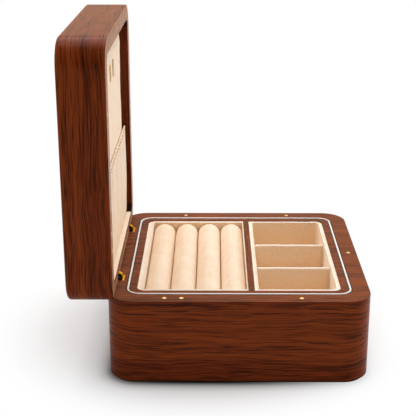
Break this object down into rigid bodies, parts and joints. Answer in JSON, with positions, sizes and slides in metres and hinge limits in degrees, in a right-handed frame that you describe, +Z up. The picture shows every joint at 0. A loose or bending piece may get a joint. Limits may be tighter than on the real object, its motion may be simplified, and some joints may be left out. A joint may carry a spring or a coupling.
{
  "type": "cufflink display box",
  "caption": "Square wooden display box with rounded corners, a hinged lid that stands open, and a lift-out tray of soft rolls and lined compartments.",
  "frame": {"origin": "centre of the felt underside, on the surface that the box stands on", "axes": "+Z up, +X towards the side that opens, hinges along the -X side, +Y to the rear; the lid stands open at a right angle at rest"},
  "size_m": [0.2412, 0.21, 0.2761],
  "materials": {
    "case_wood": "satin lacquered reddish hardwood",
    "tray_wood": "satin lacquered reddish hardwood",
    "backing_board": "plain board",
    "felt": "dark felt",
    "trim": "satin white",
    "magnet_caps": "polished",
    "hinge_gold": "polished",
    "hinge_black": "black oxide",
    "pin_steel": "brushed",
    "tab_suede": "tan suede",
    "lining_suede": "cream microsuede"
  },
  "bodies": {
    "base": {"base_frame": "case_wood", "base_bottom": "case_wood", "base_felt": "felt", "store_lining": "lining_suede", "store_floor_pad": "lining_suede", "trim_ring": "trim", "base_magnets": "magnet_caps", "hinge_base_plate_front": "hinge_black", "hinge_base_plate_rear": "hinge_black", "hinge_bar_front": "hinge_gold", "hinge_bar_rear": "hinge_gold", "hinge_pin_front": "pin_steel", "hinge_pin_rear": "pin_steel", "hinge_screws_base": "pin_steel", "tray_frame": "tray_wood", "tray_bottom": "backing_board", "tray_divider": "tray_wood", "roll_lining": "lining_suede", "roll_1": "lining_suede", "roll_2": "lining_suede", "roll_3": "lining_suede", "roll_4": "lining_suede", "compartment_lining": "lining_suede", "compartment_floor_pad": "lining_suede", "partition_1": "lining_suede", "partition_2": "lining_suede"},
    "lid": {"lid_frame": "case_wood", "lid_panel": "case_wood", "lid_board": "backing_board", "lid_cushion": "lining_suede", "hinge_wall_lining": "lining_suede", "lid_pocket": "lining_suede", "pocket_hem": "lining_suede", "lid_tabs": "tab_suede", "lid_magnets": "magnet_caps", "hinge_arm_front": "hinge_gold", "hinge_arm_rear": "hinge_gold", "hinge_lid_plate_front": "hinge_black", "hinge_lid_plate_rear": "hinge_black", "hinge_screws_lid": "pin_steel"}
  },
  "joints": [
    {"name": "lid_hinge", "type": "hinge", "parent": "base", "child": "lid", "pos_m": [-0.099, 0, 0.07215], "axis": [0, 1, 0], "range_deg": [0, 90]}
  ]
}
